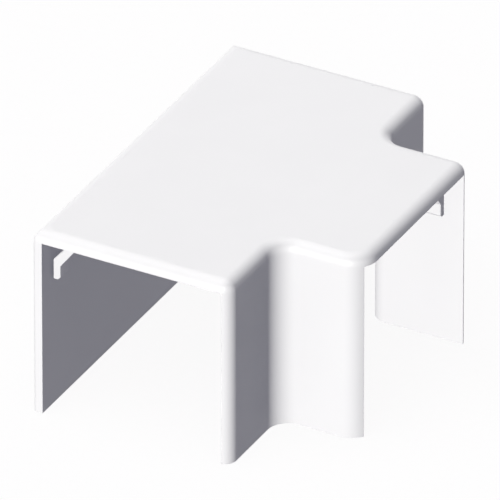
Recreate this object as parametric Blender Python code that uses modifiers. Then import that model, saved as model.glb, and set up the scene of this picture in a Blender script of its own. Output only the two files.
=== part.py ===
"""Flat tee cover for square cable trunking, moulded in one piece of white rigid plastic.

A T-shaped plate carries walls along its sides. The three ends and the bottom are open, so that it
drops over a straight run of trunking (along Y) and a branch that leaves it towards +X. Bent clip
hooks hang under the plate, two just inside each end. Metres, +Z up, open side down.
The origin is at the middle of the bounding box, at the height of the walls' lower edges.
"""

import math

import bmesh
import bpy
from mathutils import Matrix, Vector

# Driving sizes of the cover
RUN_WIDTH = 0.0447
BRANCH_WIDTH = 0.0447
FRONT_ARM = 0.0204
BACK_ARM = 0.0191
BRANCH_REACH = 0.0193
HEIGHT = 0.0421
WALL = 0.0021
PLATE = 0.0024
EDGE_ROUND = 0.0025
BACK_WALL_ROUND = 0.0005
BRANCH_FRONT_ROUND = 0.0054
CORNER_RADIUS = 0.0046
CHANNEL_CORNER_RADIUS = 0.0035

# Driving sizes of a clip hook, across the channel and down from the plate
HOOK_SETBACK = 0.0043
SIDE_HOOK_SETBACK = 0.0096
HOOK_LENGTH = 0.0060
HOOK_WALL_GAP = 0.0003
HOOK_LIP = 0.00156
HOOK_DROP = 0.0103
HOOK_OUTER_BEND = 0.0058
HOOK_INNER_BEND = 0.0071
HOOK_ROOT_NEAR = 0.0055
HOOK_ROOT_FAR = 0.0072
HOOK_TIP_CHAMFER = 0.0006

# Facets of the round stretches
CORNER_STEPS = 12
ROUND_STEPS = 10

# How far a cutter runs past what it cuts, and how far a joined piece reaches in
OVERRUN = 0.005
WELD_DISTANCE = 0.00001
FLAT_ANGLE = math.radians(0.1)

# Places that follow from the sizes
LENGTH = FRONT_ARM + BRANCH_WIDTH + BACK_ARM
RUN_BACK = -(RUN_WIDTH + BRANCH_REACH) / 2
RUN_SIDE = RUN_BACK + RUN_WIDTH
BRANCH_END = RUN_SIDE + BRANCH_REACH
FRONT_END = -LENGTH / 2
BACK_END = FRONT_END + LENGTH
BRANCH_FRONT = FRONT_END + FRONT_ARM
BRANCH_BACK = BRANCH_FRONT + BRANCH_WIDTH
UNDERSIDE = HEIGHT - PLATE

UP = Vector((0, 0, 1))


def clear_scene():
    """Take away whatever the scene holds, so that only the cover is left."""
    for thing in list(bpy.data.objects):
        bpy.data.objects.remove(thing, do_unlink=True)


def make_collection(name):
    """A new collection under the scene's own."""
    collection = bpy.data.collections.new(name)
    bpy.context.scene.collection.children.link(collection)
    return collection


def make_plastic():
    """White rigid plastic with a soft satin gloss."""
    material = bpy.data.materials.new("white_plastic")
    material.use_nodes = True
    shader = material.node_tree.nodes["Principled BSDF"]
    shader.inputs["Base Color"].default_value = (0.86, 0.86, 0.87, 1)
    shader.inputs["Roughness"].default_value = 0.45
    shader.inputs["Metallic"].default_value = 0.0
    return material


def arc(centre, radius, start, end):
    """Points along an arc in the plane, both ends included, angles in degrees."""
    points = []
    for step in range(CORNER_STEPS + 1):
        angle = math.radians(start + (end - start) * step / CORNER_STEPS)
        points.append((centre[0] + radius * math.cos(angle), centre[1] + radius * math.sin(angle)))
    return points


def tee_outline(inset, overrun, corner_radius):
    """The T seen from above, moved inwards by inset at the walls and outwards by overrun at the
    three ends. An arc of the given radius rounds each of its two corners beside the branch."""
    corner_x = RUN_SIDE - inset + corner_radius
    front_y = BRANCH_FRONT + inset - corner_radius
    back_y = BRANCH_BACK - inset + corner_radius
    front_corner = arc((corner_x, front_y), corner_radius, 180, 90)
    back_corner = arc((corner_x, back_y), corner_radius, 270, 180)
    return [
        (RUN_BACK + inset, FRONT_END - overrun),
        (RUN_SIDE - inset, FRONT_END - overrun),
        *front_corner,
        (BRANCH_END + overrun, BRANCH_FRONT + inset),
        (BRANCH_END + overrun, BRANCH_BACK - inset),
        *back_corner,
        (RUN_SIDE - inset, BACK_END + overrun),
        (RUN_BACK + inset, BACK_END + overrun),
    ]


def prism(name, outline, depth, place, collection):
    """A closed solid from a flat outline: a 2D curve, filled, extruded both ways to the depth,
    then made a mesh whose caps are welded on, each cap a single flat face."""
    curve = bpy.data.curves.new(name + "_outline", "CURVE")
    curve.dimensions = "2D"
    curve.fill_mode = "BOTH"
    curve.extrude = depth / 2
    spline = curve.splines.new("POLY")
    spline.points.add(len(outline) - 1)
    for point, (x, y) in zip(spline.points, outline):
        point.co = (x, y, 0, 1)
    spline.use_cyclic_u = True
    guide = bpy.data.objects.new(name + "_outline", curve)
    collection.objects.link(guide)
    guide.matrix_world = place
    bpy.context.view_layer.update()

    evaluated = guide.evaluated_get(bpy.context.evaluated_depsgraph_get())
    mesh = bpy.data.meshes.new_from_object(evaluated)
    mesh.name = name
    solid = bpy.data.objects.new(name, mesh)
    solid.matrix_world = guide.matrix_world.copy()
    bpy.data.objects.remove(guide, do_unlink=True)
    bpy.data.curves.remove(curve)

    shape = bmesh.new()
    shape.from_mesh(mesh)
    bmesh.ops.remove_doubles(shape, verts=shape.verts, dist=WELD_DISTANCE)
    bmesh.ops.dissolve_limit(shape, angle_limit=FLAT_ANGLE, verts=shape.verts, edges=shape.edges)
    bmesh.ops.recalc_face_normals(shape, faces=shape.faces)
    shape.to_mesh(mesh)
    shape.free()
    collection.objects.link(solid)
    return solid


def hide_guide(guide):
    """Show a cutter or a joined piece as wire, and keep it out of renders."""
    guide.hide_render = True
    guide.display_type = "WIRE"


def add_boolean(target, tool, operation):
    """Cut the target by the tool, or join the two."""
    modifier = target.modifiers.new(operation.lower() + "_" + tool.name, "BOOLEAN")
    modifier.object = tool
    modifier.operation = operation
    modifier.solver = "EXACT"
    hide_guide(tool)


def upright_rounds():
    """The upright edges at the three open ends: where each stands, and its radius. The back wall's
    two are nearly sharp, and the branch's front one takes a wide round."""
    return [
        (Vector((RUN_BACK, FRONT_END)), BACK_WALL_ROUND),
        (Vector((RUN_BACK, BACK_END)), BACK_WALL_ROUND),
        (Vector((RUN_SIDE, FRONT_END)), EDGE_ROUND),
        (Vector((RUN_SIDE, BACK_END)), EDGE_ROUND),
        (Vector((BRANCH_END, BRANCH_FRONT)), BRANCH_FRONT_ROUND),
        (Vector((BRANCH_END, BRANCH_BACK)), EDGE_ROUND),
    ]


def round_edges(body):
    """Round the plate's whole upper edge and the upright edges at the three open ends. Each edge's
    weight is its radius as a share of the widest one."""
    mesh = body.data
    uprights = upright_rounds()
    widest = max(EDGE_ROUND, *(radius for spot, radius in uprights))
    weights = mesh.attributes.new("bevel_weight_edge", "FLOAT", "EDGE")
    for edge in mesh.edges:
        low, high = (body.matrix_world @ mesh.vertices[index].co for index in edge.vertices)
        if min(low.z, high.z) > HEIGHT - WELD_DISTANCE:
            weights.data[edge.index].value = EDGE_ROUND / widest
        elif abs(low.z - high.z) > WELD_DISTANCE:
            for spot, radius in uprights:
                if (low.xy - spot).length < WELD_DISTANCE:
                    weights.data[edge.index].value = radius / widest
    bevel = body.modifiers.new("rounded_edges", "BEVEL")
    bevel.limit_method = "WEIGHT"
    bevel.width = widest
    bevel.segments = ROUND_STEPS
    bevel.use_clamp_overlap = False


def hook_outline():
    """Section of a clip hook: across the channel from the wall, and up from the walls' lower edge.
    An upright lip near the wall bends over and slants up to its root in the plate."""
    lip_far = HOOK_WALL_GAP + HOOK_LIP
    tip = UNDERSIDE - HOOK_DROP
    root = UNDERSIDE + PLATE / 2
    return [
        (HOOK_WALL_GAP, tip),
        (lip_far - HOOK_TIP_CHAMFER, tip),
        (lip_far, tip + HOOK_TIP_CHAMFER),
        (lip_far, UNDERSIDE - HOOK_INNER_BEND),
        (HOOK_ROOT_FAR, UNDERSIDE),
        (HOOK_ROOT_FAR, root),
        (HOOK_ROOT_NEAR, root),
        (HOOK_ROOT_NEAR, UNDERSIDE),
        (HOOK_WALL_GAP, UNDERSIDE - HOOK_OUTER_BEND),
    ]


def hook_places():
    """For each hook its name, the spot on the wall's inner face at its middle, and the direction
    from that wall across the channel. The run's side walls hold theirs deeper in."""
    middle = HOOK_SETBACK + HOOK_LENGTH / 2
    side_middle = SIDE_HOOK_SETBACK + HOOK_LENGTH / 2
    across_x = Vector((1, 0, 0))
    across_y = Vector((0, 1, 0))
    back_wall = RUN_BACK + WALL
    side_wall = RUN_SIDE - WALL
    tip_x = BRANCH_END - middle
    return [
        ("hook_front_back_wall", Vector((back_wall, FRONT_END + middle, 0)), across_x),
        ("hook_front_side_wall", Vector((side_wall, FRONT_END + side_middle, 0)), -across_x),
        ("hook_rear_back_wall", Vector((back_wall, BACK_END - middle, 0)), across_x),
        ("hook_rear_side_wall", Vector((side_wall, BACK_END - side_middle, 0)), -across_x),
        ("hook_branch_front_wall", Vector((tip_x, BRANCH_FRONT + WALL, 0)), across_y),
        ("hook_branch_back_wall", Vector((tip_x, BRANCH_BACK - WALL, 0)), -across_y),
    ]


def build_body(collection):
    """The outer block of the cover, with its rounded edges."""
    outline = tee_outline(0, 0, CORNER_RADIUS)
    body = prism("tee_cover", outline, HEIGHT, Matrix.Translation(UP * HEIGHT / 2), collection)
    round_edges(body)
    return body


def cut_channels(body, cutters):
    """Hollow the block: a T-shaped channel, open at the bottom and at the three ends."""
    low = -OVERRUN
    depth = UNDERSIDE - low
    place = Matrix.Translation(UP * (low + depth / 2))
    outline = tee_outline(WALL, OVERRUN, CHANNEL_CORNER_RADIUS)
    channel = prism("channel_cutter", outline, depth, place, cutters)
    add_boolean(body, channel, "DIFFERENCE")


def add_hooks(body, cutters):
    """Join the clip hooks to the plate, one beside each wall at each end."""
    for name, spot, across in hook_places():
        along = across.cross(UP)
        place = Matrix.Identity(4)
        for column, axis in enumerate((across, UP, along, spot)):
            for row in range(3):
                place[row][column] = axis[row]
        hook = prism(name, hook_outline(), HOOK_LENGTH, place, cutters)
        add_boolean(body, hook, "UNION")


def main():
    clear_scene()
    parts = make_collection("trunking_tee_cover")
    cutters = make_collection("cutters")
    body = build_body(parts)
    cut_channels(body, cutters)
    add_hooks(body, cutters)
    body.data.materials.append(make_plastic())
    body.data.shade_smooth()
    body.data.set_sharp_from_angle(angle=math.radians(30))


main()
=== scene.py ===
"""Looks of a one-piece trunking tee cover: the moulded shell, its clip hooks, and a pale studio.

Run as a script inside Blender. It is laid out as an add-on: sizes and colours are properties,
each piece has an operator, and a panel in the 3D view's sidebar lists them.
"""

import math

import bmesh
import bpy
import numpy as np
from mathutils import Matrix, Vector


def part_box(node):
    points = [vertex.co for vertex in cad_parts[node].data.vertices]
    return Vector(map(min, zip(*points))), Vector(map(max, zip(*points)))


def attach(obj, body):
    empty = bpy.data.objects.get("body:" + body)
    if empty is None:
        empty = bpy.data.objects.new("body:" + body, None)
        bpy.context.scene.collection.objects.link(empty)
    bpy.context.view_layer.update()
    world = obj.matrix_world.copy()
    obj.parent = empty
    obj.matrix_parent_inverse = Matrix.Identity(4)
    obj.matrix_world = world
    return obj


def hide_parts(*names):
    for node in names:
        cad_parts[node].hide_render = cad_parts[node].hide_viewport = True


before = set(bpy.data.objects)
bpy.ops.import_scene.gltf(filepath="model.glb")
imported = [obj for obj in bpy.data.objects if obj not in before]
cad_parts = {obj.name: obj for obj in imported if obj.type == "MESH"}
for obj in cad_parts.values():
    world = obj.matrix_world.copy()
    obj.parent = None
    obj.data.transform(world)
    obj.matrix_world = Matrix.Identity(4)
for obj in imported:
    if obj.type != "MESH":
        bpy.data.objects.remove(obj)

bl_info = {
    "name": "Trunking Tee Cover",
    "version": (1, 0, 0),
    "blender": (4, 5, 0),
    "location": "View3D > Sidebar > Tee Cover",
    "description": "Builds a trunking tee cover's moulded shell and clip hooks in a pale studio",
    "category": "Object",
}

COVER_NODE = "tee_cover"

COVER_LOW, COVER_HIGH = (np.array(corner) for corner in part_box(COVER_NODE))

# The picture's width in pixels, and the pixel where the middle of the cover's box stands
PICTURE_PIXELS = 500
MIDDLE_PIXEL = (273.71, 263.64)

# Fineness of the surfaces
ARC_STEPS = 16
OPEN_STEPS = 8
CORNER_STEPS = 44
STRAIGHT_STEPS = 8
ROUND_STEPS = 20
BEND_STEPS = 6
FLOOR_STEPS = 8
WELD_DISTANCE = 0.000002

# Rows of the shell's skin: how far inside the edge round the flat top's own row lies, within how
# many edge breaks of the rim the row at the round's foot is left out, and the share of the
# straight wall that its first step takes
TOP_ROW_MARGIN = 0.0002
RIM_CLEARANCE = 4
FIRST_WALL_STEP = 0.02

# Share of a straight stretch between its end and the extra point beside it
STRETCH_MARGIN = 0.01

# Edges that turn by more than these are shaded sharp, and get the edge break
SHARP_ANGLE = math.radians(30)
BREAK_ANGLE = math.radians(35)
BREAK_SEGMENTS = 2

# Plastic: the clouds' noise and how far they darken and lighten the colour, then the grain's
# noise and how far it moves the roughness
PLASTIC_IOR = 1.5
CLOUD_DETAIL = 3.0
CLOUD_RANGE = (0.35, 0.65)
CLOUD_DARK = 0.992
CLOUD_LIGHT = 1.004
GRAIN_DETAIL = 2.0
GRAIN_RANGE = (0.3, 0.7)
GRAIN_STRENGTH = 0.5
ROUGHNESS_SWING = 0.04

# Floor: the specks' noise, and how far they darken and lighten the colour
SPECK_SCALE = 600.0
SPECK_DETAIL = 2.0
SPECK_DARK = 0.99
SPECK_LIGHT = 1.01

# Lamps: how far off they stand and how wide their discs look, then the soft lamp's own place
LAMP_DISTANCE = 0.6
LAMP_DISC = math.radians(4)
SOFT_AZIMUTH = math.radians(-20)
SOFT_ELEVATION = math.radians(70)
SOFT_DISC = math.radians(60)

# Camera: sensor width in mm, nearest distance seen, and the farthest in camera distances
SENSOR_WIDTH = 36
CLIP_START = 0.1
CLIP_DISTANCES = 3


class CoverSizes(bpy.types.PropertyGroup):
    """Sizes of the moulded shell."""

    run_width: bpy.props.FloatProperty(
        name="Run width",
        description="Outer width of the straight run",
        default=0.0447,
        unit="LENGTH",
    )
    front_arm: bpy.props.FloatProperty(
        name="Front arm",
        description="From the run's front end to the branch",
        default=0.0204,
        unit="LENGTH",
    )
    back_arm: bpy.props.FloatProperty(
        name="Back arm",
        description="From the branch to the run's back end",
        default=0.0191,
        unit="LENGTH",
    )
    branch_reach: bpy.props.FloatProperty(
        name="Branch reach",
        description="How far the branch stands out from the run's side",
        default=0.0193,
        unit="LENGTH",
    )
    wall: bpy.props.FloatProperty(
        name="Wall",
        description="Thickness of the side walls",
        default=0.0021,
        unit="LENGTH",
    )
    plate: bpy.props.FloatProperty(
        name="Plate",
        description="Thickness of the top plate",
        default=0.0024,
        unit="LENGTH",
    )
    edge_round: bpy.props.FloatProperty(
        name="Edge round",
        description="Radius along the plate's edge and up the ends of the side walls",
        default=0.0025,
        unit="LENGTH",
    )
    back_round: bpy.props.FloatProperty(
        name="Back wall round",
        description="Radius up the two ends of the back wall",
        default=0.0008,
        unit="LENGTH",
    )
    branch_front_round: bpy.props.FloatProperty(
        name="Branch front round",
        description="Radius up the end of the branch's front wall",
        default=0.0054,
        unit="LENGTH",
    )
    corner_radius: bpy.props.FloatProperty(
        name="Corner radius",
        description="Outer radius where the branch meets the run",
        default=0.0046,
        unit="LENGTH",
    )
    channel_corner_radius: bpy.props.FloatProperty(
        name="Channel corner radius",
        description="Inner radius where the branch's channel meets the run's",
        default=0.0035,
        unit="LENGTH",
    )
    edge_break: bpy.props.FloatProperty(
        name="Edge break",
        description="Tiny round that the mould leaves on the thin edges",
        default=0.00012,
        unit="LENGTH",
    )


class HookSizes(bpy.types.PropertyGroup):
    """Sizes of a clip hook, across the channel from the wall and down from the plate."""

    setback: bpy.props.FloatProperty(
        name="Setback",
        description="From an open end to the hook",
        default=0.0043,
        unit="LENGTH",
    )
    side_setback: bpy.props.FloatProperty(
        name="Side setback",
        description="From an open end of the run to the hook at its side wall",
        default=0.0096,
        unit="LENGTH",
    )
    length: bpy.props.FloatProperty(
        name="Length",
        description="Length of the hook along the wall",
        default=0.0060,
        unit="LENGTH",
    )
    wall_gap: bpy.props.FloatProperty(
        name="Wall gap",
        description="Slot between the hook's lip and the wall",
        default=0.0003,
        unit="LENGTH",
    )
    lip: bpy.props.FloatProperty(
        name="Lip",
        description="Thickness of the upright lip",
        default=0.00156,
        unit="LENGTH",
    )
    drop: bpy.props.FloatProperty(
        name="Drop",
        description="From the plate's underside down to the lip's tip",
        default=0.0103,
        unit="LENGTH",
    )
    outer_bend: bpy.props.FloatProperty(
        name="Outer bend",
        description="From the underside down to the bend on the wall's side",
        default=0.0058,
        unit="LENGTH",
    )
    inner_bend: bpy.props.FloatProperty(
        name="Inner bend",
        description="From the underside down to the bend on the channel's side",
        default=0.0071,
        unit="LENGTH",
    )
    root_near: bpy.props.FloatProperty(
        name="Root, near side",
        description="From the wall to the near side of the hook's root in the plate",
        default=0.0055,
        unit="LENGTH",
    )
    root_far: bpy.props.FloatProperty(
        name="Root, far side",
        description="From the wall to the far side of the hook's root in the plate",
        default=0.0072,
        unit="LENGTH",
    )
    tip_chamfer: bpy.props.FloatProperty(
        name="Tip chamfer",
        description="Lead-in at the lip's tip, on the channel's side",
        default=0.0006,
        unit="LENGTH",
    )
    bend_round: bpy.props.FloatProperty(
        name="Bend round",
        description="Radius at the hook's bends",
        default=0.0005,
        unit="LENGTH",
    )


class PlasticFinish(bpy.types.PropertyGroup):
    """Finish of the moulded plastic."""

    colour: bpy.props.FloatVectorProperty(
        name="Colour",
        description="Colour of the white plastic",
        subtype="COLOR",
        size=3,
        min=0,
        max=1,
        default=(0.86, 0.86, 0.87),
    )
    roughness: bpy.props.FloatProperty(
        name="Roughness",
        description="Mean roughness of the satin surface",
        default=0.45,
        min=0,
        max=1,
        subtype="FACTOR",
    )
    grain_size: bpy.props.FloatProperty(
        name="Grain size",
        description="Width of one speck of the mould's fine texture",
        default=0.00035,
        unit="LENGTH",
    )
    grain_height: bpy.props.FloatProperty(
        name="Grain height",
        description="Depth of the mould's fine texture",
        default=0.000004,
        unit="LENGTH",
    )
    flow_size: bpy.props.FloatProperty(
        name="Flow size",
        description="Width of the faint clouds left by the plastic's flow",
        default=0.018,
        unit="LENGTH",
    )


class StudioLook(bpy.types.PropertyGroup):
    """Camera, lamps and floor."""

    azimuth: bpy.props.FloatProperty(
        name="Camera azimuth",
        description="Camera's turn round the object, from the front towards +X",
        default=math.radians(28.13),
        subtype="ANGLE",
    )
    elevation: bpy.props.FloatProperty(
        name="Camera elevation",
        description="Camera's angle above the floor",
        default=math.radians(31.35),
        subtype="ANGLE",
    )
    view_width: bpy.props.FloatProperty(
        name="View width",
        description="Width of the picture at the middle of the cover",
        default=0.10017,
        unit="LENGTH",
    )
    lens: bpy.props.FloatProperty(
        name="Lens",
        description="Focal length in mm, so long that the view is all but parallel",
        default=1500,
    )
    key_energy: bpy.props.FloatProperty(
        name="Key lamp",
        description="Strength of the key lamp",
        default=3.10,
    )
    key_azimuth: bpy.props.FloatProperty(
        name="Key azimuth",
        description="Key lamp's turn round the object, from the front towards +X",
        default=math.radians(1),
        subtype="ANGLE",
    )
    key_elevation: bpy.props.FloatProperty(
        name="Key elevation",
        description="Key lamp's angle above the floor",
        default=math.radians(15),
        subtype="ANGLE",
    )
    key_colour: bpy.props.FloatVectorProperty(
        name="Key colour",
        description="Colour of the key and fill lamps",
        subtype="COLOR",
        size=3,
        min=0,
        max=1,
        default=(1.0, 0.99, 0.955),
    )
    fill_energy: bpy.props.FloatProperty(
        name="Fill lamp",
        description="Strength of the lamp behind the object",
        default=2.38,
    )
    fill_azimuth: bpy.props.FloatProperty(
        name="Fill azimuth",
        description="Fill lamp's turn round the object, from the front towards +X",
        default=math.radians(-150),
        subtype="ANGLE",
    )
    fill_elevation: bpy.props.FloatProperty(
        name="Fill elevation",
        description="Fill lamp's angle above the floor",
        default=math.radians(45),
        subtype="ANGLE",
    )
    soft_energy: bpy.props.FloatProperty(
        name="Soft lamp",
        description="Strength of the soft lamp that gives the shadow",
        default=0.3,
    )
    ambient: bpy.props.FloatProperty(
        name="Ambient",
        description="Strength of the light from all round",
        default=0.158,
    )
    ambient_colour: bpy.props.FloatVectorProperty(
        name="Ambient colour",
        description="Colour of the light from all round",
        subtype="COLOR",
        size=3,
        min=0,
        max=1,
        default=(0.79, 0.785, 1.0),
    )
    floor_colour: bpy.props.FloatVectorProperty(
        name="Floor colour",
        description="Colour of the pale floor",
        subtype="COLOR",
        size=3,
        min=0,
        max=1,
        default=(0.98, 0.98, 0.98),
    )
    floor_white: bpy.props.FloatProperty(
        name="Floor white",
        description="Share of plain white in the floor as the camera sees it",
        default=0.5,
        min=0,
        max=1,
        subtype="FACTOR",
    )
    floor_size: bpy.props.FloatProperty(
        name="Floor size",
        description="Width of the floor",
        default=3.0,
        unit="LENGTH",
    )


class TeeCoverSettings(bpy.types.PropertyGroup):
    """Everything that a user of the tee cover can set."""

    cover: bpy.props.PointerProperty(type=CoverSizes)
    hooks: bpy.props.PointerProperty(type=HookSizes)
    finish: bpy.props.PointerProperty(type=PlasticFinish)
    studio: bpy.props.PointerProperty(type=StudioLook)


class CoverPlan:
    """Places that follow from the cover's sizes, in the frame that the solids use."""

    def __init__(self, sizes):
        self.sizes = sizes
        self.back = float(COVER_LOW[0])
        self.side = self.back + sizes.run_width
        self.tip = self.side + sizes.branch_reach
        self.front_end = float(COVER_LOW[1])
        self.back_end = float(COVER_HIGH[1])
        self.branch_front = self.front_end + sizes.front_arm
        self.branch_back = self.back_end - sizes.back_arm
        self.top = float(COVER_HIGH[2])
        self.underside = self.top - sizes.plate
        # How far the edge round has drawn the skin in at the height of the plate's underside
        rise = self.underside - self.top + sizes.edge_round
        self.rim_inset = sizes.edge_round - math.sqrt(sizes.edge_round**2 - rise**2)


def settings():
    """The scene's settings for the tee cover."""
    return bpy.context.scene.tee_cover


def spread(first, last, count, margin=0.0):
    """Points from first to last in count even steps, for every row at once. A margin adds one more
    point near each end, at that share of the whole, which keeps the shading flat right up to a
    round."""
    shares = np.linspace(0, 1, count + 1)
    if margin:
        shares = np.concatenate(([0, margin], shares[1:-1], [1 - margin, 1]))
    return first[..., None, :] + (last - first)[..., None, :] * shares[:, None]


def skin_rows(plan):
    """Rows of the outer skin from the flat top down to the foot, as inset from the wall's outer
    face and height: the edge round's quarter circle down to the rim, which is at the height of
    the plate's underside, then the circle's foot unless it is too near the rim, then the wall.
    Also gives the number of the rim's row."""
    radius = plan.sizes.edge_round
    rim_angle = math.asin((plan.underside - plan.top + radius) / radius)
    angles = np.linspace(math.pi / 2, rim_angle, ROUND_STEPS + 1)
    if radius * math.sin(rim_angle) > RIM_CLEARANCE * plan.sizes.edge_break:
        angles = np.append(angles, 0)
    inset = radius * (1 - np.cos(angles))
    height = plan.top - radius + radius * np.sin(angles)
    shares = np.append(FIRST_WALL_STEP, np.linspace(0, 1, STRAIGHT_STEPS + 1)[1:])
    straight = (plan.top - radius) * (1 - shares)
    inset = np.concatenate(([radius + TOP_ROW_MARGIN], inset, np.zeros(len(straight))))
    height = np.concatenate(([plan.top], height, straight))
    return inset, height, ROUND_STEPS + 1


def wall_end(plan, corner, along, outward, radius, inset):
    """Plan of a wall's rounded end, for every row at once. The wall runs along, towards its open
    end, and its outer face looks outward. The round is a circle of the radius less the inset about
    a centre that keeps its distance from both faces. The wall's share turns from the outer face
    to where the inner face cuts the circle, and the open end's share turns on to the end face. On
    a wall thicker than the round, the circle is whole and a flat reaches the inner face."""
    corner, along, outward = (np.array(thing, dtype=float) for thing in (corner, along, outward))
    wall = plan.sizes.wall
    circle = np.maximum(radius - inset, 0)[:, None]
    centre = np.maximum(inset, radius)[:, None]
    shares = np.linspace(0, 1, ARC_STEPS + 1)
    if radius > wall:
        held = np.minimum(inset, plan.rim_inset)[:, None]
        cut = np.arccos((radius - wall) / (radius - held))
        wall_angle = cut * shares
        open_angle = cut + (math.pi / 2 - cut) * np.linspace(0, 1, OPEN_STEPS + 1)
        open_depth = centre - circle * np.cos(open_angle)
        open_reach = circle * np.sin(open_angle) - centre
        wall_depth = centre - circle * np.cos(wall_angle)
        wall_reach = circle * np.sin(wall_angle) - centre
    else:
        wall_angle = math.pi / 2 * shares
        cut_depth = wall + np.maximum(inset[:, None] - plan.rim_inset, 0)
        wall_depth = np.concatenate((centre - circle * np.cos(wall_angle), cut_depth), axis=1)
        wall_reach = np.concatenate((circle * np.sin(wall_angle) - centre, -inset[:, None]), axis=1)
        open_depth = cut_depth
        open_reach = -inset[:, None]
    return [
        corner + reach[..., None] * along - depth[..., None] * outward
        for reach, depth in ((wall_reach, wall_depth), (open_reach, open_depth))
    ]


def turn(centre, radius, start, end):
    """Points on a circle in the plan, for every row's radius at once, angles in degrees."""
    angles = np.radians(np.linspace(start, end, CORNER_STEPS + 1))
    circle = np.stack((np.cos(angles), np.sin(angles)), axis=-1)
    return np.array(centre) + np.asarray(radius)[:, None, None] * circle


def chain(*stretches):
    """Stretches joined end to end in the plan, each with straight steps from the last one's end
    to its start where they don't touch already."""
    line = stretches[0]
    for stretch in stretches[1:]:
        gap = np.abs(line[:, -1] - stretch[:, 0]).max()
        if gap > WELD_DISTANCE:
            between = spread(line[:, -1], stretch[:, 0], STRAIGHT_STEPS, STRETCH_MARGIN)
            line = np.concatenate((line, between[:, 1:-1], stretch), axis=1)
        else:
            line = np.concatenate((line, stretch[:, 1:]), axis=1)
    return line


def cover_walls(plan, inset):
    """The three walls of the T, each seen from above from one open end to the other, and the
    three mouths between them, in order round the T. Each comes as its plan for every row."""
    sizes = plan.sizes
    full, small = sizes.edge_round, sizes.back_round
    east, north, west, south = (1, 0), (0, 1), (-1, 0), (0, -1)

    def end(x, y, along, outward, radius):
        return wall_end(plan, (x, y), along, outward, radius, inset)

    front_side = end(plan.side, plan.front_end, south, east, full)
    branch_front = end(plan.tip, plan.branch_front, east, south, sizes.branch_front_round)
    branch_back = end(plan.tip, plan.branch_back, east, north, full)
    rear_side = end(plan.side, plan.back_end, north, east, full)
    rear_back = end(plan.back, plan.back_end, north, west, small)
    front_back = end(plan.back, plan.front_end, south, west, small)

    radius = sizes.corner_radius
    corner_x = plan.side + radius
    front_turn = turn((corner_x, plan.branch_front - radius), radius + inset, 180, 90)
    back_turn = turn((corner_x, plan.branch_back + radius), radius + inset, 270, 180)

    walls = [
        chain(front_side[0][:, ::-1], front_turn, branch_front[0]),
        chain(branch_back[0][:, ::-1], back_turn, rear_side[0]),
        chain(rear_back[0][:, ::-1], front_back[0]),
    ]
    mouths = []
    for leaving, entering in (
        (branch_front, branch_back),
        (rear_side, rear_back),
        (front_back, front_side),
    ):
        mouths.append(chain(leaving[1], entering[1][:, ::-1]))
    return walls, mouths


def channel_walls(plan, walls, cut_rows):
    """The channel's three inner walls in plan, from one wall's end to the other, with as many
    points as the outer skin has. They lie one wall's thickness inside it and turn with the
    channel's own radius, and their two ends are the ends of the outer skin's rows."""
    wall_thickness = plan.sizes.wall
    radius = plan.sizes.channel_corner_radius
    corner_x = plan.side - wall_thickness + radius
    front_y = plan.branch_front + wall_thickness - radius
    back_y = plan.branch_back - wall_thickness + radius
    circle = np.full(cut_rows, radius)
    inner = []
    turns = (turn((corner_x, front_y), circle, 180, 90), turn((corner_x, back_y), circle, 270, 180))
    for wall, bend in zip(walls[:2], turns):
        rows = wall[-cut_rows:]
        before = (rows.shape[1] - bend.shape[1]) // 2 + 1
        first = spread(rows[:, 0], bend[:, 0], before - 1)
        last = spread(bend[:, -1], rows[:, -1], before - 1)
        inner.append(np.concatenate((first, bend[:, 1:-1], last), axis=1))
    rows = walls[2][-cut_rows:]
    inner.append(spread(rows[:, 0], rows[:, -1], rows.shape[1] - 1))
    return inner


def grid_faces(numbers, flip=False):
    """Four-cornered faces between neighbouring rows and columns of a grid of point numbers."""
    quads = np.stack(
        (numbers[:-1, :-1], numbers[1:, :-1], numbers[1:, 1:], numbers[:-1, 1:]), axis=-1
    ).reshape(-1, 4)
    return quads[:, ::-1] if flip else quads


class Surface:
    """Grids and flat caps gathered into one mesh."""

    def __init__(self):
        self.points = []
        self.faces = []
        self.total = 0

    def add_points(self, points):
        """Takes points in and gives their numbers, in the same arrangement."""
        flat = points.reshape(-1, 3)
        numbers = self.total + np.arange(len(flat)).reshape(points.shape[:-1])
        self.points.append(flat)
        self.total += len(flat)
        return numbers

    def add_grid(self, points, flip=False):
        """Takes a grid of points in, with the faces between them."""
        numbers = self.add_points(points)
        self.faces.extend(grid_faces(numbers, flip).tolist())
        return numbers

    def add_cap(self, loop, flip=False):
        """Closes a flat loop of points with a single face."""
        numbers = self.add_points(loop).tolist()
        self.faces.append(numbers[::-1] if flip else numbers)

    def mesh(self, name):
        """The welded mesh, with its normals pointing outwards."""
        mesh = bpy.data.meshes.new(name)
        mesh.from_pydata(np.concatenate(self.points).tolist(), [], self.faces)
        shape = bmesh.new()
        shape.from_mesh(mesh)
        bmesh.ops.remove_doubles(shape, verts=shape.verts, dist=WELD_DISTANCE)
        bmesh.ops.dissolve_degenerate(shape, edges=shape.edges, dist=WELD_DISTANCE)
        bmesh.ops.recalc_face_normals(shape, faces=shape.faces)
        open_edges = sum(not edge.is_manifold for edge in shape.edges)
        if open_edges:
            raise RuntimeError(f"{name} has {open_edges} open edges")
        shape.to_mesh(mesh)
        shape.free()
        return mesh


def raised(plan_points, heights):
    """Plan points given a height for each row."""
    level = np.broadcast_to(heights[:, None, None], plan_points.shape[:-1] + (1,))
    return np.concatenate((plan_points, level), axis=-1)


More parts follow.
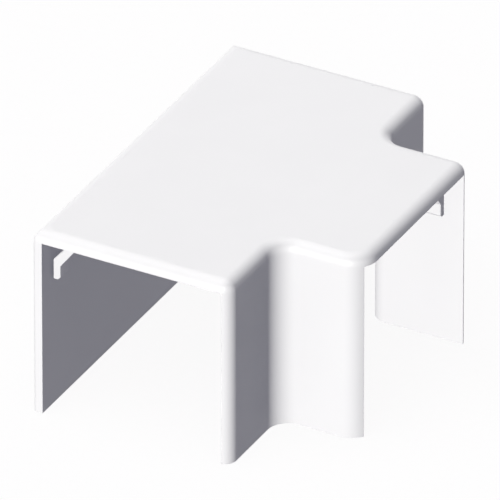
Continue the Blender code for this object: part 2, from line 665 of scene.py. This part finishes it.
def shell_mesh(plan):
    """The whole moulding but for its hooks. The outer skin is one grid: rows come down the edge
    round and the wall, columns go round the T. In the three mouths it stops at the plate's
    underside. The channel's walls are grids too, and flat caps close it at the plate's top, the
    plate's underside and the three walls' feet."""
    inset, height, rim = skin_rows(plan)
    walls, mouths = cover_walls(plan, inset)
    cut_rows = len(inset) - rim
    inner = channel_walls(plan, walls, cut_rows)
    surface = Surface()
    top_loop = []
    under_loop = []
    for wall, lining, mouth in zip(walls, inner, mouths):
        outer_points = raised(wall, height)
        inner_points = raised(lining, height[-cut_rows:])
        mouth_points = raised(mouth[: rim + 1], height[: rim + 1])
        surface.add_grid(outer_points)
        surface.add_grid(inner_points, flip=True)
        surface.add_grid(mouth_points)
        surface.add_cap(np.concatenate((outer_points[-1], inner_points[-1][-2:0:-1])))
        top_loop.extend((outer_points[0, :-1], mouth_points[0, :-1]))
        under_loop.extend((inner_points[0, :-1], mouth_points[-1, :-1]))
    surface.add_cap(np.concatenate(top_loop))
    surface.add_cap(np.concatenate(under_loop), flip=True)
    return surface.mesh("cover_shell")


def rounded_loop(corners, radii):
    """A closed outline whose corners are rounded: each corner is an arc about a centre on the line
    that halves it, turned in even angles from the point where it touches one side to the point
    where it touches the other."""
    corners = np.array(corners)
    before = np.roll(corners, 1, axis=0) - corners
    after = np.roll(corners, -1, axis=0) - corners
    before /= np.linalg.norm(before, axis=1)[:, None]
    after /= np.linalg.norm(after, axis=1)[:, None]
    half = np.arccos(np.clip((before * after).sum(axis=1), -1, 1)) / 2
    radii = np.array(radii)
    reach = radii / np.tan(half)
    middle = before + after
    middle /= np.linalg.norm(middle, axis=1)[:, None]
    centre = corners + middle * (radii / np.sin(half))[:, None]
    start = corners + before * reach[:, None] - centre
    end = corners + after * reach[:, None] - centre
    start_angle = np.arctan2(start[:, 1], start[:, 0])
    swing = (np.arctan2(end[:, 1], end[:, 0]) - start_angle + math.pi) % (2 * math.pi) - math.pi
    angles = start_angle[:, None] + swing[:, None] * np.linspace(0, 1, BEND_STEPS + 1)
    arcs = np.stack((np.cos(angles), np.sin(angles)), axis=-1) * radii[:, None, None]
    return (centre[:, None] + arcs).reshape(-1, 2)


def hook_profile(plan, hooks, shrink):
    """Section of a clip hook, across the channel from the wall and up: an upright lip near the
    wall bends over and slants up to its root in the plate. Moved inwards by shrink."""
    lip_far = hooks.wall_gap + hooks.lip
    tip = plan.underside - hooks.drop
    root = plan.underside + plan.sizes.plate / 2
    corners = np.array([
        (hooks.wall_gap, tip),
        (lip_far - hooks.tip_chamfer, tip),
        (lip_far, tip + hooks.tip_chamfer),
        (lip_far, plan.underside - hooks.inner_bend),
        (hooks.root_far, plan.underside),
        (hooks.root_far, root),
        (hooks.root_near, root),
        (hooks.root_near, plan.underside),
        (hooks.wall_gap, plan.underside - hooks.outer_bend),
    ])
    small, bend = plan.sizes.edge_break, hooks.bend_round
    radii = np.array([small, small, small, bend, small, small, small, small, bend])
    side = np.roll(corners, -1, axis=0) - corners
    normal = np.stack((-side[:, 1], side[:, 0]), axis=-1)
    normal /= np.linalg.norm(normal, axis=1)[:, None]
    previous = np.roll(normal, 1, axis=0)
    mitre = (normal + previous) / (1 + (normal * previous).sum(axis=1))[:, None]
    return rounded_loop(corners + mitre * shrink, radii)


def hook_mesh(plan, hooks, name, spot, across):
    """A clip hook: its section carried along the wall, drawn in by a quarter circle of the edge
    break at both ends, so that the end faces' edges are softened, and closed by flat caps."""
    across = np.array(across, dtype=float)
    along = np.array((across[1], -across[0], 0))
    up = np.array((0, 0, 1.0))
    small = plan.sizes.edge_break
    angles = np.radians(np.linspace(0, 90, BEND_STEPS + 1))
    shrink = small * (1 - np.sin(angles))
    ends = small * (1 - np.cos(angles))
    length = hooks.length
    place = np.concatenate((ends, length - ends[::-1])) - length / 2
    shrink = np.concatenate((shrink, shrink[::-1]))
    rings = []
    for offset, inwards in zip(place, shrink):
        ring = hook_profile(plan, hooks, inwards)
        rings.append(spot + ring[:, :1] * across + ring[:, 1:] * up + offset * along)
    rings = np.array(rings)
    closed = np.concatenate((rings, rings[:, :1]), axis=1)
    surface = Surface()
    surface.add_grid(closed)
    surface.add_cap(rings[0])
    surface.add_cap(rings[-1], flip=True)
    return surface.mesh(name)


def hook_places(plan, hooks):
    """For each hook its name, the spot on the wall's inner face at its middle, and the direction
    from that wall across the channel."""
    middle = hooks.setback + hooks.length / 2
    side_middle = hooks.side_setback + hooks.length / 2
    wall = plan.sizes.wall
    return [
        ("hook_front_back_wall", (plan.back + wall, plan.front_end + middle, 0), (1, 0, 0)),
        ("hook_front_side_wall", (plan.side - wall, plan.front_end + side_middle, 0), (-1, 0, 0)),
        ("hook_rear_back_wall", (plan.back + wall, plan.back_end - middle, 0), (1, 0, 0)),
        ("hook_rear_side_wall", (plan.side - wall, plan.back_end - side_middle, 0), (-1, 0, 0)),
        ("hook_branch_front_wall", (plan.tip - middle, plan.branch_front + wall, 0), (0, 1, 0)),
        ("hook_branch_back_wall", (plan.tip - middle, plan.branch_back - wall, 0), (0, -1, 0)),
    ]


def show_mesh(mesh):
    """A new object for a mesh, linked to the scene, smooth but for its sharp edges."""
    mesh.shade_smooth()
    mesh.set_sharp_from_angle(angle=SHARP_ANGLE)
    thing = bpy.data.objects.new(mesh.name, mesh)
    bpy.context.scene.collection.objects.link(thing)
    return thing


def add_value(tree, kind, **inputs):
    """A shader node with its inputs set by name: a value is written in, a socket is linked."""
    node = tree.nodes.new(kind)
    for name, value in inputs.items():
        socket = node.inputs[name.replace("_", " ")]
        if isinstance(value, bpy.types.NodeSocket):
            tree.links.new(value, socket)
        else:
            socket.default_value = value
    return node


def add_ramp(tree, source, low, high, to_low, to_high):
    """A stretch of values mapped onto another, held at its ends."""
    node = tree.nodes.new("ShaderNodeMapRange")
    tree.links.new(source, node.inputs["Value"])
    node.inputs["From Min"].default_value = low
    node.inputs["From Max"].default_value = high
    node.inputs["To Min"].default_value = to_low
    node.inputs["To Max"].default_value = to_high
    return node.outputs["Result"]


def plastic_material(finish):
    """White satin plastic: faint clouds from the melt's flow in its colour and gloss, and a very
    fine grain from the mould's surface."""
    material = bpy.data.materials.new("moulded_white_plastic")
    material.use_nodes = True
    tree = material.node_tree
    shader = tree.nodes["Principled BSDF"]
    place = tree.nodes.new("ShaderNodeTexCoord").outputs["Object"]

    clouds = add_value(
        tree, "ShaderNodeTexNoise", Vector=place, Scale=1 / finish.flow_size, Detail=CLOUD_DETAIL
    )
    grain = add_value(
        tree, "ShaderNodeTexNoise", Vector=place, Scale=1 / finish.grain_size, Detail=GRAIN_DETAIL
    )

    tint = tree.nodes.new("ShaderNodeMix")
    tint.data_type = "RGBA"
    share = add_ramp(tree, clouds.outputs["Fac"], *CLOUD_RANGE, 0, 1)
    tree.links.new(share, tint.inputs["Factor"])
    colour = np.array(finish.colour)
    tint.inputs["A"].default_value = (*(colour * CLOUD_DARK), 1)
    tint.inputs["B"].default_value = (*(colour * CLOUD_LIGHT), 1)
    tree.links.new(tint.outputs["Result"], shader.inputs["Base Color"])

    glossier = finish.roughness - ROUGHNESS_SWING
    duller = finish.roughness + ROUGHNESS_SWING
    rough = add_ramp(tree, grain.outputs["Fac"], *GRAIN_RANGE, glossier, duller)
    tree.links.new(rough, shader.inputs["Roughness"])

    bump = tree.nodes.new("ShaderNodeBump")
    bump.inputs["Strength"].default_value = GRAIN_STRENGTH
    bump.inputs["Distance"].default_value = finish.grain_height
    tree.links.new(grain.outputs["Fac"], bump.inputs["Height"])
    tree.links.new(bump.outputs["Normal"], shader.inputs["Normal"])

    shader.inputs["Metallic"].default_value = 0
    shader.inputs["IOR"].default_value = PLASTIC_IOR
    return material


def shared_plastic():
    """The moulded plastic's material, made once."""
    found = bpy.data.materials.get("moulded_white_plastic")
    return found or plastic_material(settings().finish)


def floor_material(look):
    """Pale matt floor. To the camera a share of it is plain white, so that it runs into the white
    background, and the rest still darkens a little where the object takes its light."""
    material = bpy.data.materials.new("pale_floor")
    material.use_nodes = True
    tree = material.node_tree
    tree.nodes.remove(tree.nodes["Principled BSDF"])
    output = tree.nodes["Material Output"]
    place = tree.nodes.new("ShaderNodeTexCoord").outputs["Object"]
    speck = add_value(
        tree, "ShaderNodeTexNoise", Vector=place, Scale=SPECK_SCALE, Detail=SPECK_DETAIL
    )
    tint = tree.nodes.new("ShaderNodeMix")
    tint.data_type = "RGBA"
    tree.links.new(speck.outputs["Fac"], tint.inputs["Factor"])
    colour = np.array(look.floor_colour)
    tint.inputs["A"].default_value = (*(colour * SPECK_DARK), 1)
    tint.inputs["B"].default_value = (*(colour * SPECK_LIGHT), 1)

    matt = tree.nodes.new("ShaderNodeBsdfDiffuse")
    tree.links.new(tint.outputs["Result"], matt.inputs["Color"])
    white = add_value(tree, "ShaderNodeEmission", Strength=1.0)
    share = tree.nodes.new("ShaderNodeMath")
    share.operation = "MULTIPLY"
    share.inputs[1].default_value = look.floor_white
    tree.links.new(tree.nodes.new("ShaderNodeLightPath").outputs["Is Camera Ray"], share.inputs[0])
    mix = tree.nodes.new("ShaderNodeMixShader")
    tree.links.new(share.outputs[0], mix.inputs[0])
    tree.links.new(matt.outputs[0], mix.inputs[1])
    tree.links.new(white.outputs[0], mix.inputs[2])
    tree.links.new(mix.outputs[0], output.inputs["Surface"])
    return material


def white_world(look):
    """A world that is white where it is seen or mirrored, and gives soft light from all round."""
    world = bpy.data.worlds.new("pale_surround")
    world.use_nodes = True
    tree = world.node_tree
    backdrop = tree.nodes["Background"]
    backdrop.inputs["Color"].default_value = (1, 1, 1, 1)
    path = tree.nodes.new("ShaderNodeLightPath")
    seen = path.outputs["Is Camera Ray"]
    for name in ("Is Glossy Ray", "Is Transmission Ray"):
        either = tree.nodes.new("ShaderNodeMath")
        either.operation = "MAXIMUM"
        tree.links.new(seen, either.inputs[0])
        tree.links.new(path.outputs[name], either.inputs[1])
        seen = either.outputs[0]
    soft = tree.nodes.new("ShaderNodeBackground")
    soft.inputs["Color"].default_value = (*look.ambient_colour, 1)
    soft.inputs["Strength"].default_value = look.ambient
    mix = tree.nodes.new("ShaderNodeMixShader")
    tree.links.new(seen, mix.inputs[0])
    tree.links.new(soft.outputs[0], mix.inputs[1])
    tree.links.new(backdrop.outputs[0], mix.inputs[2])
    tree.links.new(mix.outputs[0], tree.nodes["World Output"].inputs["Surface"])
    bpy.context.scene.world = world


def view_axes(azimuth, elevation):
    """Right, up and back of a camera that looks at the object from an azimuth and elevation."""
    right = Vector((math.cos(azimuth), math.sin(azimuth), 0))
    back = Vector((
        math.sin(azimuth) * math.cos(elevation),
        -math.cos(azimuth) * math.cos(elevation),
        math.sin(elevation),
    ))
    return right, back.cross(right), back


def place_looking(thing, place, axes):
    """Puts a camera or lamp at a place, with its own axes as given."""
    turned = Matrix([[axis[row] for axis in axes] for row in range(3)])
    thing.matrix_world = Matrix.Translation(place) @ turned.to_4x4()


def add_sun(name, azimuth, elevation, energy):
    """A far lamp at an azimuth and elevation, with a small disc and no shadow."""
    lamp = bpy.data.lights.new(name, "SUN")
    lamp.energy = energy
    lamp.angle = LAMP_DISC
    lamp.use_shadow = False
    thing = bpy.data.objects.new(name, lamp)
    bpy.context.scene.collection.objects.link(thing)
    axes = view_axes(azimuth, elevation)
    place_looking(thing, axes[2] * LAMP_DISTANCE, axes)
    return thing


def add_lamps(look):
    """A key and a fill lamp without shadows, and a weak soft lamp that gives the only shadow."""
    key = add_sun("key_lamp", look.key_azimuth, look.key_elevation, look.key_energy)
    key.data.color = look.key_colour
    fill = add_sun("fill_lamp", look.fill_azimuth, look.fill_elevation, look.fill_energy)
    fill.data.color = look.key_colour
    fill.visible_glossy = False
    soft = add_sun("soft_lamp", SOFT_AZIMUTH, SOFT_ELEVATION, look.soft_energy)
    soft.data.angle = SOFT_DISC
    soft.data.use_shadow = True
    # The floor's diffuse rays pass through the cover, so they would wash the shadow out
    soft.data.cycles.use_multiple_importance_sampling = False


def add_camera(look):
    """A long-lens camera with the middle of the cover's box on its pixel in the photograph."""
    camera = bpy.data.cameras.new("camera")
    camera.lens = look.lens
    camera.sensor_width = SENSOR_WIDTH
    distance = look.view_width * look.lens / camera.sensor_width
    camera.clip_start = CLIP_START
    camera.clip_end = distance * CLIP_DISTANCES
    eye = bpy.data.objects.new("camera", camera)
    bpy.context.scene.collection.objects.link(eye)
    right, up, back = view_axes(look.azimuth, look.elevation)
    pixel = look.view_width / PICTURE_PIXELS
    aim = (
        Vector((COVER_LOW + COVER_HIGH) / 2)
        - right * (MIDDLE_PIXEL[0] - PICTURE_PIXELS / 2) * pixel
        + up * (MIDDLE_PIXEL[1] - PICTURE_PIXELS / 2) * pixel
    )
    place_looking(eye, aim + back * distance, (right, up, back))
    bpy.context.scene.camera = eye


class TEECOVER_OT_shell(bpy.types.Operator):
    """Build the moulded shell: plate, walls and rounded edges."""

    bl_idname = "teecover.shell"
    bl_label = "Build Shell"

    def execute(self, context):
        plan = CoverPlan(settings().cover)
        shell = show_mesh(shell_mesh(plan))
        soften = shell.modifiers.new("edge_break", "BEVEL")
        soften.limit_method = "ANGLE"
        soften.angle_limit = BREAK_ANGLE
        soften.width = plan.sizes.edge_break
        soften.segments = BREAK_SEGMENTS
        soften.harden_normals = True
        shell.data.materials.append(shared_plastic())
        # No light bounces between faces, which keeps the photograph's flat tones
        shell.visible_diffuse = False
        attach(shell, "root")
        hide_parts(COVER_NODE)
        return {"FINISHED"}


class TEECOVER_OT_hooks(bpy.types.Operator):
    """Build the bent clip hooks under the plate, two just inside each open end."""

    bl_idname = "teecover.hooks"
    bl_label = "Build Clip Hooks"

    def execute(self, context):
        plan = CoverPlan(settings().cover)
        for name, spot, across in hook_places(plan, settings().hooks):
            hook = show_mesh(hook_mesh(plan, settings().hooks, name, np.array(spot), across))
            hook.data.materials.append(shared_plastic())
            hook.visible_diffuse = False
            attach(hook, "root")
        return {"FINISHED"}


class TEECOVER_OT_studio(bpy.types.Operator):
    """Set up the pale floor, the lamps, the white surround and the camera."""

    bl_idname = "teecover.studio"
    bl_label = "Set Up Studio"

    def execute(self, context):
        look = settings().studio
        half = look.floor_size / 2
        line = np.linspace(-half, half, FLOOR_STEPS + 1)
        across, along = np.meshgrid(line, line, indexing="ij")
        surface = Surface()
        surface.add_grid(np.stack((across, along, np.zeros_like(across)), axis=-1), flip=True)
        mesh = bpy.data.meshes.new("floor")
        mesh.from_pydata(np.concatenate(surface.points).tolist(), [], surface.faces)
        floor = bpy.data.objects.new("floor", mesh)
        context.scene.collection.objects.link(floor)
        floor.data.materials.append(floor_material(look))
        floor.visible_diffuse = False

        add_lamps(look)
        white_world(look)
        add_camera(look)
        context.scene.view_settings.view_transform = "Standard"
        return {"FINISHED"}


class TEECOVER_PT_panel(bpy.types.Panel):
    """Sizes, finish and studio of the tee cover, with a button for each piece."""

    bl_idname = "TEECOVER_PT_panel"
    bl_label = "Tee Cover"
    bl_space_type = "VIEW_3D"
    bl_region_type = "UI"
    bl_category = "Tee Cover"

    def draw(self, context):
        chosen = context.scene.tee_cover
        for title, group in (
            ("Shell", chosen.cover),
            ("Clip hooks", chosen.hooks),
            ("Plastic", chosen.finish),
            ("Studio", chosen.studio),
        ):
            box = self.layout.box()
            box.label(text=title)
            for name in group.__annotations__:
                box.prop(group, name)
        column = self.layout.column()
        column.operator("teecover.shell")
        column.operator("teecover.hooks")
        column.operator("teecover.studio")


CLASSES = (
    CoverSizes,
    HookSizes,
    PlasticFinish,
    StudioLook,
    TeeCoverSettings,
    TEECOVER_OT_shell,
    TEECOVER_OT_hooks,
    TEECOVER_OT_studio,
    TEECOVER_PT_panel,
)


def register():
    for cls in CLASSES:
        bpy.utils.register_class(cls)
    bpy.types.Scene.tee_cover = bpy.props.PointerProperty(type=TeeCoverSettings)


def unregister():
    del bpy.types.Scene.tee_cover
    for cls in reversed(CLASSES):
        bpy.utils.unregister_class(cls)


def main():
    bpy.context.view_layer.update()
    register()
    bpy.ops.teecover.shell()
    bpy.ops.teecover.hooks()
    bpy.ops.teecover.studio()


if __name__ == "__main__":
    main()
